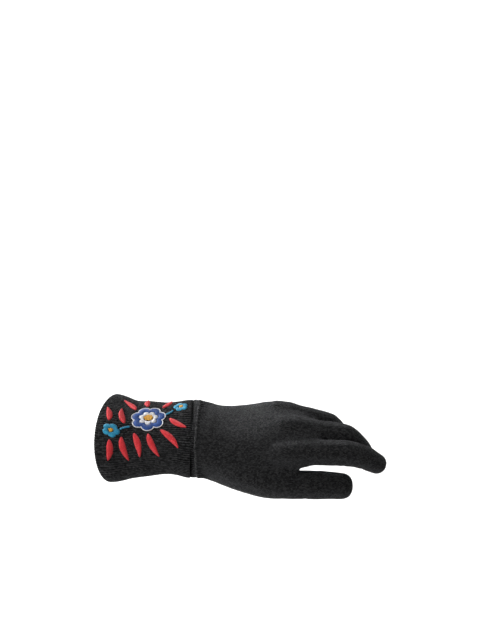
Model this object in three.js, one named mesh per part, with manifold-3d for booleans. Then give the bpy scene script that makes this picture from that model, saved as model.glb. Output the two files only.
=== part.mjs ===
// A left-hand dress glove of knitted charcoal wool, in the shape that it takes when worn: a relaxed hand seen from
// the back and the thumb side. The hand and the five finger tubes are knitted of one yarn, each finger a tube of
// its own joined on at its root. The long ribbed cuff is turned up, so it is a folded double layer, and its back
// carries a spray in satin stitch. Everything is hollow and open at the wrist.
// Millimetres. +X runs from the mouth of the cuff to the fingertips, +Z out of the back of the hand and +Y to the
// little finger. The origin is the centre of the mouth of the cuff.

import * as THREE from "three";
import { mergeVertices } from "three/addons/utils/BufferGeometryUtils.js";
import Module from "manifold-3d";

const wasm = await Module();
wasm.setup();

// Driving sizes of the cloth.
const HAND_WALL = 2; // plain knit of the hand and fingers
const RIB_LAYER = 1.8; // one layer of the ribbed cuff
const LAYER_GAP = 0.5; // between the two layers of the turned-up cuff
const CLEARANCE = 0.3; // between neighbouring pieces

// Driving sizes of the cuff.
const CUFF_LENGTH = 72.5;
const CUFF_UNDERLAP = 10; // how far the hand runs on under the free edge of the cuff
// The mouth slants back on the side between the back of the hand and the thumb, and is bowed a little.
const MOUTH_LEAN = { y: 0.144, z: -0.211, bow: 0.00125 };
const BOW_ACROSS = { y: 0.873, z: 0.487 }; // the direction across which the mouth is bowed
const LEAN_REACH = 60; // the slant is gone this far in from the mouth
const CUFF_FORM = [
  { x: 0, y: 0.5, z: 0.6, wide: 43.5, high: 32.4 },
  { x: 9, y: 0.1, z: 0.1, wide: 42.3, high: 31.5 },
  { x: 22, y: -0.3, z: -0.3, wide: 38.4, high: 28 },
  { x: 35, y: 0.4, z: 0.4, wide: 37.1, high: 26.9 },
  { x: 50, y: 0.9, z: 0.9, wide: 36, high: 25.6 },
  { x: 60, y: 0.9, z: 0.9, wide: 36.6, high: 26.3 },
  { x: 67, y: 0.5, z: 0.5, wide: 37.8, high: 27.9 },
  { x: 72.5, y: 0.2, z: 0.2, wide: 38.3, high: 28.4 },
];
const CUFF_AROUND = 36;
const FOLD_STEPS = 4; // round the turned-up edge at the mouth
const EDGE_ROUND = 0.6; // the bevel of the free edge
const FOLD_CLEAR = 0.4; // from the fold's middle to the end of the gap between the layers
const ROW_APART = 3; // the least distance from a row of the form to the inner layer's end

// The hand without its fingers. The arch column drops the two edges of the hand below its middle, and the square
// column is 2 for an oval section and more for a squarer one.
const HAND_FORM = [
  { x: 62.5, y: 0.4, z: 0.4, wide: 34.2, high: 23.6, arch: 0, square: 2 },
  { x: 71.5, y: 0.3, z: 0.3, wide: 34.8, high: 24.6, arch: 0, square: 2 },
  { x: 75.5, y: 0.4, z: 0.3, wide: 38, high: 28.2, arch: 0, square: 2 },
  { x: 88, y: -0.2, z: -0.8, wide: 37, high: 26, arch: 0.5, square: 2.1 },
  { x: 98, y: -0.4, z: -1, wide: 36.8, high: 22.8, arch: 2, square: 2.2 },
  { x: 110, y: 0, z: 0, wide: 38, high: 20.4, arch: 4, square: 2.3 },
  { x: 124, y: 1.6, z: 3, wide: 39.4, high: 18.4, arch: 7.5, square: 2.3 },
  { x: 138, y: 3, z: 7.4, wide: 39.8, high: 16.8, arch: 10.5, square: 2.3 },
  { x: 150, y: 4, z: 10.6, wide: 38.4, high: 14.6, arch: 12, square: 2.3 },
  { x: 162, y: 1, z: 11.2, wide: 34.6, high: 12.4, arch: 12, square: 2.2 },
  { x: 173, y: -2, z: 10.6, wide: 30.6, high: 10.6, arch: 10, square: 2.1 },
  { x: 181, y: -3, z: 9.6, wide: 26.6, high: 8.6, arch: 8, square: 2 },
  { x: 186, y: -3, z: 8.6, wide: 20, high: 5, arch: 6, square: 2 },
];
const HAND_AROUND = 28;

// Each finger: its joints from the knuckle inside the hand to the middle of the tip, and the row of the table at
// which the finger tube starts as a piece of its own.
const FINGERS = {
  index_finger: {
    root: 2,
    joints: [
      { x: 130, y: -21.4, z: 0.4, wide: 10.4, high: 10.4 },
      { x: 151, y: -24, z: 7.2, wide: 11.8, high: 12 },
      { x: 172, y: -23.6, z: 8, wide: 10.6, high: 11.6 },
      { x: 188, y: -22.9, z: 7.2, wide: 10.5, high: 11.8 },
      { x: 200, y: -22.4, z: 6.4, wide: 10.6, high: 11.8 },
      { x: 211, y: -21.6, z: 4, wide: 10.3, high: 11.2 },
      { x: 221, y: -20.6, z: -0.8, wide: 9.8, high: 10.2 },
      { x: 231.5, y: -20, z: -8, wide: 9.2, high: 9.2 },
    ],
  },
  middle_finger: {
    root: 2,
    joints: [
      { x: 131, y: -2, z: 7, wide: 10.4, high: 10.4 },
      { x: 152, y: -2.4, z: 15, wide: 11.8, high: 12.4 },
      { x: 172, y: -1.6, z: 12.4, wide: 10.3, high: 11.2 },
      { x: 188, y: -1.2, z: 9, wide: 10.2, high: 11.2 },
      { x: 202, y: -1, z: 6.4, wide: 10.2, high: 11.2 },
      { x: 213, y: -1, z: -0.8, wide: 9.9, high: 10.4 },
      { x: 221.5, y: -2, z: -12, wide: 9.2, high: 9.4 },
      { x: 225.5, y: -2.6, z: -18.5, wide: 8.8, high: 8.8 },
    ],
  },
  ring_finger: {
    root: 2,
    joints: [
      { x: 126, y: 16.4, z: 5.6, wide: 10.2, high: 10.2 },
      { x: 147, y: 18.2, z: 13.8, wide: 11.6, high: 12.2 },
      { x: 166, y: 18.6, z: 9.4, wide: 10, high: 10.8 },
      { x: 181, y: 19, z: 4.6, wide: 9.8, high: 10.6 },
      { x: 193, y: 19, z: -0.2, wide: 9.7, high: 10.4 },
      { x: 201.5, y: 18, z: -10, wide: 9.3, high: 9.6 },
      { x: 206, y: 16.6, z: -22, wide: 8.7, high: 8.9 },
      { x: 206.6, y: 15.4, z: -30, wide: 8.3, high: 8.3 },
    ],
  },
  little_finger: {
    root: 1.5,
    joints: [
      { x: 118, y: 27, z: -6, wide: 9.4, high: 9.6 },
      { x: 138, y: 32, z: -1.6, wide: 10.4, high: 11 },
      { x: 153, y: 34.6, z: -7, wide: 9.2, high: 10 },
      { x: 165, y: 36, z: -12.4, wide: 8.9, high: 9.6 },
      { x: 174, y: 36, z: -18.6, wide: 8.8, high: 9.2 },
      { x: 181, y: 34.6, z: -29, wide: 8.2, high: 8.4 },
      { x: 183, y: 33, z: -38, wide: 7.8, high: 7.9 },
      { x: 182.6, y: 31.4, z: -44, wide: 7.5, high: 7.5 },
    ],
  },
  thumb: {
    root: 4,
    joints: [
      { x: 84, y: -15.6, z: -6.6, wide: 16.4, high: 16.6 },
      { x: 103, y: -21.6, z: -9.6, wide: 18, high: 18 },
      { x: 122, y: -27.6, z: -14, wide: 17.4, high: 17.2 },
      { x: 141, y: -32.6, z: -18.2, wide: 15.2, high: 15.2 },
      { x: 158, y: -34.2, z: -21.1, wide: 12.8, high: 12.8 },
      { x: 171, y: -33.7, z: -22.6, wide: 12.3, high: 12.3 },
      { x: 186, y: -32.1, z: -24.4, wide: 12.3, high: 12.3 },
      { x: 201.2, y: -30.1, z: -27.4, wide: 11.5, high: 11.5 },
    ],
  },
};

// The web of cloth between the thumb and the index finger, part of the hand.
const WEB = {
  joints: [
    { x: 128, y: -27, z: -6, wide: 9, high: 9 },
    { x: 146, y: -30, z: -7, wide: 8, high: 9 },
    { x: 158, y: -30.4, z: -7.6, wide: 5.6, high: 7.4 },
  ],
};
const FINGER_AROUND = 11;
const RINGS_PER_JOINT = 2;

// A knitted fingertip is closed by a few quick decreases, so it ends in a small flat and not in a dome. Along is
// counted in tip radii past the last joint, and share is the share of the full radius.
const TIP_FORM = [
  { along: 0.42, share: 0.95 },
  { along: 0.74, share: 0.8 },
  { along: 0.98, share: 0.5 },
];

// The embroidered spray, in millimetres on the surface of the cuff: p from the mouth towards the wrist, q from the
// middle of the back towards the thumb side. Turn is in degrees from +p towards +q.
const STITCH_BASE = 0.45; // from the cloth up to the underside of the stitches
const BLOSSOMS = [
  { name: "large_blossom_star", p: 38, q: 3, petals: 7, hole: 3.6, inner: 5, outer: 7.6, thick: 1, turn: 12 },
  { name: "large_blossom", p: 38, q: 3, petals: 7, inner: 10.2, outer: 13, thick: 1.1, turn: 12 },
  { name: "mouth_blossom", p: 12, q: 18.5, petals: 5, hole: 2, inner: 4.8, outer: 6.4, thick: 1, turn: 40 },
  { name: "wrist_blossom", p: 63, q: -11, petals: 5, hole: 2, inner: 4.8, outer: 6.4, thick: 1, turn: 0 },
];
const PETAL_STEPS = 6; // round each petal
const HEART_STEPS = 12;
const LEAF_THICK = 1.1;
const LEAF_STEPS = 7;
const LEAF_BLUNT = 0.5; // half the width in which a stitched leaf ends
const LEAVES = [
  { p: 20.5, q: 9.5, length: 17, half: 2.4, turn: -106, bend: -0.9 },
  { p: 19.5, q: 22.5, length: 20, half: 2.5, turn: 76, bend: 1.1 },
  { p: 9.6, q: 9.5, length: 15, half: 2.3, turn: -106, bend: 0.9 },
  { p: 28.5, q: 18.6, length: 21, half: 2.5, turn: 78, bend: -1.1 },
  { p: 26.5, q: -8.4, length: 18, half: 2.4, turn: -134, bend: 1.1 },
  { p: 48.2, q: 15, length: 22, half: 2.5, turn: 50, bend: -1.2 },
  { p: 54.6, q: 4, length: 17, half: 2.4, turn: 34, bend: 1 },
  { p: 48, q: -10.5, length: 17, half: 2.4, turn: -68, bend: 1.1 },
  { p: 39, q: 19.2, length: 21, half: 2.5, turn: 66, bend: 1.1 },
  { p: 11.5, q: 27.2, length: 18, half: 2.4, turn: 96, bend: -1 },
  { p: 35.5, q: -12.8, length: 15, half: 2.4, turn: -98, bend: -0.9 },
];
const STEM_THICK = 0.9;
const STEM_STEPS = 4;
const STEMS = [
  { p: 18.2, q: 16.4, length: 8, half: 0.7, turn: -28, bend: -0.8 },
  { p: 51.2, q: -0.6, length: 7, half: 0.7, turn: -38, bend: 0.6 },
];

function eased(a, b, c, d, t) {
  return 0.5 * (2 * b + (c - a) * t + (2 * a - 5 * b + 4 * c - d) * t * t + (3 * b - a - 3 * c + d) * t ** 3);
}

// The row of a table at a place between its rows, counted in rows, every column following its own smooth curve.
function rowAt(rows, place) {
  const i = Math.min(Math.floor(place), rows.length - 2);
  const pick = (k) => rows[Math.max(0, Math.min(rows.length - 1, k))];
  const made = {};
  for (const name of Object.keys(rows[0])) {
    made[name] = eased(pick(i - 1)[name], pick(i)[name], pick(i + 1)[name], pick(i + 2)[name], place - i);
  }
  return made;
}

// The row of a table whose first column, x, has the value asked for.
function rowAtX(rows, x) {
  let i = 0;
  while (i < rows.length - 2 && rows[i + 1].x < x) i += 1;
  const share = (x - rows[i].x) / (rows[i + 1].x - rows[i].x);
  return { ...rowAt(rows, i + Math.max(0, Math.min(1, share))), x };
}

// A point of an oval section, at a turn from the little-finger side over the back of the hand.
function onOval({ wide, high, arch = 0, square = 2 }, turn, inset) {
  const power = 2 / square;
  const c = Math.cos(turn);
  const s = Math.sin(turn);
  const across = Math.sign(c) * Math.abs(c) ** power;
  const up = Math.sign(s) * Math.abs(s) ** power;
  return [(wide - inset) * across, (high - inset) * up - arch * across * across];
}

function ring(station, around, inset = 0) {
  const { centre, across, up } = station;
  return Array.from({ length: around }, (_, j) => {
    const [a, b] = onOval(station, (j / around) * 2 * Math.PI, inset);
    return centre.clone().addScaledVector(across, a).addScaledVector(up, b);
  });
}

// Skins a list of rings of points, each ring turning from +Y over +Z seen with +X ahead. Ends: "cap" closes the
// first and last ring, and "loop" joins the last ring to the first.
function skin(rings, ends) {
  const around = rings[0].length;
  const points = rings.flat();
  const triangles = [];
  const at = (i, j) => (i % rings.length) * around + (j % around);
  const runs = ends === "loop" ? rings.length : rings.length - 1;
  for (let i = 0; i < runs; i += 1) {
    for (let j = 0; j < around; j += 1) {
      triangles.push(at(i, j), at(i, j + 1), at(i + 1, j));
      triangles.push(at(i, j + 1), at(i + 1, j + 1), at(i + 1, j));
    }
  }
  if (ends === "cap") {
    const middleOf = (list) => list.reduce((sum, p) => sum.add(p), new THREE.Vector3()).divideScalar(list.length);
    points.push(middleOf(rings[0]), middleOf(rings.at(-1)));
    const [first, last] = [points.length - 2, points.length - 1];
    for (let j = 0; j < around; j += 1) {
      triangles.push(first, at(0, j + 1), at(0, j));
      triangles.push(last, at(rings.length - 1, j), at(rings.length - 1, j + 1));
    }
  }
  const geometry = new THREE.BufferGeometry().setFromPoints(points);
  geometry.setIndex(triangles);
  return geometry;
}

function solidOf(geometry) {
  const merged = mergeVertices(geometry.clone());
  return new wasm.Manifold(
    new wasm.Mesh({
      numProp: 3,
      vertProperties: new Float32Array(merged.attributes.position.array),
      triVerts: new Uint32Array(merged.index.array),
    }),
  );
}

function geometryOf(solid) {
  const mesh = solid.getMesh();
  const geometry = new THREE.BufferGeometry();
  const positions = new Float32Array(mesh.numVert * 3);
  for (let i = 0; i < mesh.numVert; i += 1) {
    positions.set(mesh.vertProperties.subarray(i * mesh.numProp, i * mesh.numProp + 3), i * 3);
  }
  geometry.setAttribute("position", new THREE.BufferAttribute(positions, 3));
  geometry.setIndex(new THREE.BufferAttribute(new Uint32Array(mesh.triVerts), 1));
  return geometry;
}

// Stations square to the arm, for the cuff and the hand.
function squareStation(row) {
  return {
    ...row,
    centre: new THREE.Vector3(row.x, row.y, row.z),
    across: new THREE.Vector3(0, 1, 0),
    up: new THREE.Vector3(0, 0, 1),
  };
}

// Stations square to a finger's own line, from one row of its table to its last joint and on over the tip.
function fingerStations(joints, from, inset) {
  const rows = [];
  const steps = Math.round((joints.length - 1 - from) * RINGS_PER_JOINT);
  for (let i = 0; i <= steps; i += 1) rows.push(rowAt(joints, from + i / RINGS_PER_JOINT));
  const stations = rows.map((row, i) => {
    const before = rows[Math.max(0, i - 1)];
    const after = rows[Math.min(rows.length - 1, i + 1)];
    const along = new THREE.Vector3(after.x - before.x, after.y - before.y, after.z - before.z).normalize();
    const across = new THREE.Vector3(0, 1, 0).addScaledVector(along, -along.y).normalize();
    const up = new THREE.Vector3().crossVectors(along, across);
    return { ...row, centre: new THREE.Vector3(row.x, row.y, row.z), along, across, up };
  });
  const last = stations.at(-1);
  for (const { along, share } of TIP_FORM) {
    stations.push({
      ...last,
      centre: last.centre.clone().addScaledVector(last.along, along * (last.high - inset)),
      wide: inset + (last.wide - inset) * share,
      high: inset + (last.high - inset) * share,
    });
  }
  return stations;
}

function fingerRings(finger, from, inset) {
  return fingerStations(finger.joints, from, inset).map((s) => ring(s, FINGER_AROUND, inset));
}

// A finger as a sleeve of cloth: out along the outside, over the tip and back along the inside.
function fingerPiece(finger) {
  const outer = solidOf(skin(fingerRings(finger, finger.root, 0), "cap"));
  const inside = fingerRings(finger, finger.root, HAND_WALL);
  const away = inside[0].map((p, j) => p.clone().sub(inside[1][j]).setLength(1));
  inside.unshift(inside[0].map((p, j) => p.clone().add(away[j])));
  return geometryOf(outer.subtract(solidOf(skin(inside, "cap"))));
}

function handRings(inset) {
  return HAND_FORM.map((row) => ring(squareStation(row), HAND_AROUND, Math.min(inset, row.high - 1)));
}

// The hand: its own form joined to the root of each finger, hollowed, and cut back from the finger tubes.
function handPiece() {
  let outer = solidOf(skin(handRings(0), "cap"));
  const insideRings = handRings(HAND_WALL);
  insideRings.unshift(insideRings[0].map((p) => p.clone().setX(p.x - 1)));
  let inner = solidOf(skin(insideRings.slice(0, -1), "cap"));
  for (const finger of [...Object.values(FINGERS), WEB]) {
    outer = outer.add(solidOf(skin(fingerRings(finger, 0, 0), "cap")));
    inner = inner.add(solidOf(skin(fingerRings(finger, 0, HAND_WALL), "cap")));
  }
  let cloth = outer.subtract(inner);
  for (const finger of Object.values(FINGERS)) {
    const rings = fingerRings(finger, finger.root, -CLEARANCE);
    const back = rings[0].map((p, j) => p.clone().sub(rings[1][j]).setLength(CLEARANCE));
    rings[0] = rings[0].map((p, j) => p.clone().add(back[j]));
    cloth = cloth.subtract(solidOf(skin(rings, "cap")));
  }
  return geometryOf(cloth);
}

// Slants and bows the mouth of the cuff: both are full at the mouth and gone before the wrist.
function leant(point) {
  const share = Math.max(0, 1 - Math.max(0, point.x) / LEAN_REACH);
  const bow = MOUTH_LEAN.bow * (BOW_ACROSS.y * point.y + BOW_ACROSS.z * point.z) ** 2;
  point.x += share * (MOUTH_LEAN.y * point.y + MOUTH_LEAN.z * point.z + bow);
  return point;
}

// The turned-up cuff, as rings round its folded wall: from the free edge at the wrist down the outer layer, round
// the fold at the mouth, and back up the inner layer to the end of the hand.
function cuffPiece() {
  const fold = RIB_LAYER + LAYER_GAP / 2;
  const innerEnd = CUFF_LENGTH - CUFF_UNDERLAP - CLEARANCE;
  const outward = [];
  const places = CUFF_FORM.map((row) => row.x).filter((x) => x > fold && x < CUFF_LENGTH);
  const wall = (x, inset) => outward.push([x, inset]);
  // Outer face of the outer layer, from the wrist to the mouth.
  wall(CUFF_LENGTH - EDGE_ROUND, 0);
  for (const x of [...places].reverse()) wall(x, 0);
  for (let i = 0; i <= FOLD_STEPS; i += 1) {
    const turn = (i / FOLD_STEPS) * Math.PI;
    wall(fold - fold * Math.sin(turn), fold - fold * Math.cos(turn));
  }
  // Inner face of the inner layer, from the mouth to the wrist.
  for (const x of places.filter((v) => v < innerEnd - ROW_APART)) wall(x, 2 * fold);
  wall(innerEnd, 2 * fold);
  wall(innerEnd, fold + LAYER_GAP / 2);
  for (const x of places.filter((v) => v < innerEnd - ROW_APART).reverse()) wall(x, fold + LAYER_GAP / 2);
  wall(fold + FOLD_CLEAR, fold + LAYER_GAP / 2);
  wall(fold + FOLD_CLEAR, fold - LAYER_GAP / 2);
  for (const x of places) wall(x, RIB_LAYER);
  wall(CUFF_LENGTH, RIB_LAYER);
  wall(CUFF_LENGTH, EDGE_ROUND);
  const rings = outward.map(([x, inset]) =>
    ring(squareStation(rowAtX(CUFF_FORM, x)), CUFF_AROUND, inset).map(leant),
  );
  return skin(rings.reverse(), "loop");
}

// The point that lies over (p, q) of the cuff's outer face, lifted off it.
function onCuff(p, q, lift) {
  const row = rowAtX(CUFF_FORM, p);
  const turnStep = 0.01;
  let turn = Math.PI / 2;
  let walked = 0;
  const step = Math.sign(q) * turnStep;
  while (walked < Math.abs(q)) {
    walked += Math.hypot(row.wide * Math.sin(turn), row.high * Math.cos(turn)) * turnStep;
    turn += step;
  }
  const stretch = Math.hypot(row.wide * Math.sin(turn), row.high * Math.cos(turn));
  turn -= (step * (walked - Math.abs(q))) / (stretch * turnStep);
  const [a, b] = onOval(row, turn, 0);
  const normal = new THREE.Vector3(0, a / row.wide ** 2, b / row.high ** 2).normalize();
  const point = new THREE.Vector3(p, row.y + a, row.z + b).addScaledVector(normal, lift);
  return leant(point);
}

// A raised patch of satin stitch along a path of (p, q) points: flat below, crowned above. Half is its half width
// at a share of its length.
const PATCH_PROFILE = [
  { side: -1, rise: 0 },
  { side: -0.75, rise: 0.75 },
  { side: 0, rise: 1 },
  { side: 0.75, rise: 0.75 },
  { side: 1, rise: 0 },
  { side: 0, rise: 0 },
];
function patch(path, half, thick, steps) {
  const rings = [];
  for (let i = 0; i <= steps; i += 1) {
    const share = i / steps;
    const here = path(share);
    const next = path(Math.min(1, share + 0.01));
    const last = path(Math.max(0, share - 0.01));
    const [dp, dq] = [next[0] - last[0], next[1] - last[1]];
    const size = Math.hypot(dp, dq);
    const [sideP, sideQ] = [-dq / size, dp / size];
    rings.push(
      PATCH_PROFILE.map(({ side, rise }) =>
        onCuff(
          here[0] + sideP * side * half(share),
          here[1] + sideQ * side * half(share),
          STITCH_BASE + rise * thick,
        ),
      ),
    );
  }
  return skin(rings, "cap");
}

const DEGREE = Math.PI / 180;

function leafPath({ p, q, length, turn, bend }) {
  const [c, s] = [Math.cos(turn * DEGREE), Math.sin(turn * DEGREE)];
  return (share) => {
    const [u, v] = [length * share, 4 * bend * share * (1 - share)];
    return [p + c * u - s * v, q + s * u + c * v];
  };
}

function leafHalf(widest) {
  return (share) => LEAF_BLUNT + (widest - LEAF_BLUNT) * Math.sin(Math.PI * share ** 0.8) ** 0.8;
}

// How far a ring of petals reaches at an angle from its middle.
function petalRim({ petals, inner, outer }, angle) {
  return inner + (outer - inner) * Math.abs(Math.sin((angle * petals) / 2)) ** 0.7;
}

// A blossom is a ring of petals round an open middle, one body with a flat underside. Its middle is a round hole,
// or follows the rim of the star that it surrounds.
function blossomPiece(blossom, star) {
  const { p, q, petals, hole, thick, turn } = blossom;
  const steps = petals * PETAL_STEPS;
  const rings = Array.from({ length: steps }, (_, i) => {
    const angle = (i / steps) * 2 * Math.PI;
    const rim = petalRim(blossom, angle);
    const start = CLEARANCE + (star ? petalRim(star, angle) : hole);
    const heading = angle + turn * DEGREE;
    const corner = (radius, lift) =>
      onCuff(p + radius * Math.cos(heading), q + radius * Math.sin(heading), STITCH_BASE + lift);
    return [
      corner(start, 0),
      corner(rim, 0),
      corner(rim - 0.3, 0.6 * thick),
      corner((start + rim) / 2, thick),
      corner(start + 0.3, 0.6 * thick),
    ];
  });
  return skin(rings, "loop");
}

// The heart of a blossom is a low button of stitches in the open middle of the petals.
function heartPiece({ p, q, hole, thick }) {
  const level = (radius, lift) =>
    Array.from({ length: HEART_STEPS }, (_, i) => {
      const angle = (-i / HEART_STEPS) * 2 * Math.PI;
      return onCuff(p + radius * Math.cos(angle), q + radius * Math.sin(angle), STITCH_BASE + lift);
    });
  return skin([level(hole, 0), level(hole, 0.6 * thick), level(0.6 * hole, 1.3 * thick)], "cap");
}

const glove = new THREE.Group();

function addPiece(name, geometry, look) {
  const mesh = new THREE.Mesh(geometry, look);
  mesh.name = name;
  glove.add(mesh);
}

const charcoalKnit = new THREE.MeshStandardMaterial({ color: "#33343a", roughness: 0.95, metalness: 0 });
const charcoalRib = new THREE.MeshStandardMaterial({ color: "#2b2c30", roughness: 0.95, metalness: 0 });
const redThread = new THREE.MeshStandardMaterial({ color: "#d8202f", roughness: 0.45, metalness: 0 });
const blueThread = new THREE.MeshStandardMaterial({ color: "#3450b8", roughness: 0.45, metalness: 0 });
const cyanThread = new THREE.MeshStandardMaterial({ color: "#1e96d6", roughness: 0.45, metalness: 0 });
const whiteThread = new THREE.MeshStandardMaterial({ color: "#e8e8ea", roughness: 0.45, metalness: 0 });
const goldThread = new THREE.MeshStandardMaterial({ color: "#ebb428", roughness: 0.45, metalness: 0 });

addPiece("ribbed_cuff", cuffPiece(), charcoalRib);
addPiece("hand", handPiece(), charcoalKnit);
for (const [name, finger] of Object.entries(FINGERS)) addPiece(name, fingerPiece(finger), charcoalKnit);
const [star, largeBlossom, mouthBlossom, wristBlossom] = BLOSSOMS;
addPiece(star.name, blossomPiece(star), whiteThread);
addPiece(largeBlossom.name, blossomPiece(largeBlossom, star), blueThread);
addPiece(mouthBlossom.name, blossomPiece(mouthBlossom), cyanThread);
addPiece(wristBlossom.name, blossomPiece(wristBlossom), cyanThread);
addPiece("large_blossom_heart", heartPiece(star), goldThread);
addPiece("mouth_blossom_heart", heartPiece(mouthBlossom), goldThread);
addPiece("wrist_blossom_heart", heartPiece(wristBlossom), goldThread);
LEAVES.forEach((leaf, i) => {
  addPiece(`leaf_${i + 1}`, patch(leafPath(leaf), leafHalf(leaf.half), LEAF_THICK, LEAF_STEPS), redThread);
});
STEMS.forEach((stem, i) => {
  addPiece(`stem_${i + 1}`, patch(leafPath(stem), () => stem.half, STEM_THICK, STEM_STEPS), cyanThread);
});

export default glove;
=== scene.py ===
# A left-hand dress glove of charcoal melange wool, knitted plain and kept in the shape that it has when worn. Its
# long ribbed cuff is turned up double and carries an embroidered spray of flowers. Metres, +X from the mouth of the
# cuff to the fingertips, +Z out of the back of the hand and +Y to the little finger.

import math
import random
from functools import partial

import bmesh
import bpy
import numpy as np
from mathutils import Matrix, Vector, noise
from mathutils.bvhtree import BVHTree


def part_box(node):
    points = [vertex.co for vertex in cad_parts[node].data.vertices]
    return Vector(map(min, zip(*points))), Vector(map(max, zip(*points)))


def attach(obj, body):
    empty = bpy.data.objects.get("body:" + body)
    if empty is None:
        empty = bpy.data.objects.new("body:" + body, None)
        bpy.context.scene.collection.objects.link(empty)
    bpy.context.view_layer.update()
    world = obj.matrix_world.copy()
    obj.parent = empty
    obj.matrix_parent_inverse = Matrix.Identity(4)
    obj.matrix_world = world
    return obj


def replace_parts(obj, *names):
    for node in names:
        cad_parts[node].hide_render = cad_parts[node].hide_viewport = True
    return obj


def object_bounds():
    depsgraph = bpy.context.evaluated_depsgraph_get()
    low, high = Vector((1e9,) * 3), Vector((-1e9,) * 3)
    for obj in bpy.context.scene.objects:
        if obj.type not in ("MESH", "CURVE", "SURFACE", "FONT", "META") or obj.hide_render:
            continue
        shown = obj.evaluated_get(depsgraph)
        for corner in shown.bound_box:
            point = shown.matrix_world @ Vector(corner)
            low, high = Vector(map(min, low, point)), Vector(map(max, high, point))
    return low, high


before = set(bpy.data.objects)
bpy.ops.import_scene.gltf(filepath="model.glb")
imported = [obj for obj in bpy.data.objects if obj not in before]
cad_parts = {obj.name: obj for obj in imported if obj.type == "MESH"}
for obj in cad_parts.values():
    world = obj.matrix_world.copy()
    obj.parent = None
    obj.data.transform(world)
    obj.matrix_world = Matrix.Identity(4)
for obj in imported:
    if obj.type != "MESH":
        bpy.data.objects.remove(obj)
cad_low, cad_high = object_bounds()
MM = 0.001
random.seed(7)

# Camera. It looks down at the back of the hand from the thumb side, from about a metre away, as the photograph was
# taken, with the glove below the middle of the picture.
VIEW_ELEVATION = math.radians(45)
VIEW_DISTANCE = 1.0
PIXEL = 0.881 * MM  # the size of a pixel at the glove
FRAME_WIDTH, FRAME_HEIGHT = 480, 640
LOOKED_AT = Vector((120 * MM, 0, 0))
LOOKED_AT_COLUMN, LOOKED_AT_ROW = 246.9, 439

view_right = Vector((1, 0, 0))
view_back = Vector((0, -math.cos(VIEW_ELEVATION), math.sin(VIEW_ELEVATION)))
view_up = view_back.cross(view_right)
camera_data = bpy.data.cameras.new("camera")
camera_data.sensor_width = 36
camera_data.lens = camera_data.sensor_width * VIEW_DISTANCE / (FRAME_HEIGHT * PIXEL)
camera_data.dof.use_dof = False
camera = bpy.data.objects.new("camera", camera_data)
bpy.context.scene.collection.objects.link(camera)
camera.location = LOOKED_AT + view_back * VIEW_DISTANCE
picture_middle = (
    LOOKED_AT
    - view_right * (LOOKED_AT_COLUMN - FRAME_WIDTH / 2) * PIXEL
    + view_up * (LOOKED_AT_ROW - FRAME_HEIGHT / 2) * PIXEL
)
camera.rotation_mode = "QUATERNION"
camera.rotation_quaternion = (picture_middle - camera.location).to_track_quat("-Z", "Y")
bpy.context.scene.camera = camera

# Studio. A large pale floor well below the glove, a soft light behind its left end, a narrow one in front that is
# aimed at the wrist, a broad one that keeps the far floor white, and an even white surround.
FLOOR_DROP = 0.5
bpy.ops.mesh.primitive_plane_add(size=12, location=(0, 0, cad_low.z - FLOOR_DROP))
floor = bpy.context.object
floor.name = "floor"
floor_paint = bpy.data.materials.new("pale_floor")
floor_paint.use_nodes = True
floor_shader = floor_paint.node_tree.nodes["Principled BSDF"]
floor_shader.inputs["Base Color"].default_value = (0.95, 0.95, 0.95, 1)
floor_shader.inputs["Roughness"].default_value = 0.9
floor_shader.inputs["Specular IOR Level"].default_value = 0
floor.data.materials.append(floor_paint)


def soft_light(name, place, aim, size, power, spread=180):
    light = bpy.data.lights.new(name, "AREA")
    light.shape = "DISK"
    light.size = size
    light.energy = power
    light.spread = math.radians(spread)
    lamp = bpy.data.objects.new(name, light)
    lamp.location = place
    lamp.rotation_mode = "QUATERNION"
    lamp.rotation_quaternion = (Vector(aim) - Vector(place)).to_track_quat("-Z", "Y")
    bpy.context.scene.collection.objects.link(lamp)


soft_light("key_light", (-0.75, 1.08, 0.47), LOOKED_AT, 0.4, 23)
soft_light("front_light", (-0.5, -0.4, 0.4), (0.06, 0, 0), 0.3, 0.22, 32)
soft_light("far_floor_light", (0.1, 1.9, 1.5), (0.1, 2, -1), 2, 45, 110)
world = bpy.data.worlds.new("white_surround")
world.use_nodes = True
world.node_tree.nodes["Background"].inputs["Color"].default_value = (1, 1, 1, 1)
world.node_tree.nodes["Background"].inputs["Strength"].default_value = 0.27
bpy.context.scene.world = world
bpy.context.scene.view_settings.view_transform = "Standard"

# Plain knit of the hand and the five fingers. The glove is knitted of one fine melange wool, each finger a tube that
# grows out of the hand, so here they are one soft shell. It is taken from the solids, smoothed and then creased, and
# its stitches run out along every finger.
CLOTH_THICKNESS = 1.8 * MM
VOXEL = 1.15 * MM
SMOOTH_STEPS = 20
SWELL = 0.25
REGAIN = 0.1  # what smoothing takes off a finger beyond the swell, put back on all over
FINGER_NODES = ["index_finger", "middle_finger", "ring_finger", "little_finger", "thumb"]
WRIST_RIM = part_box("hand")[0].x
PALM_WALES = 112
COURSE = 1.25
TIP_SQUARE = 2.15  # 2 is a round fingertip; a knitted one is closed flat

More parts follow.
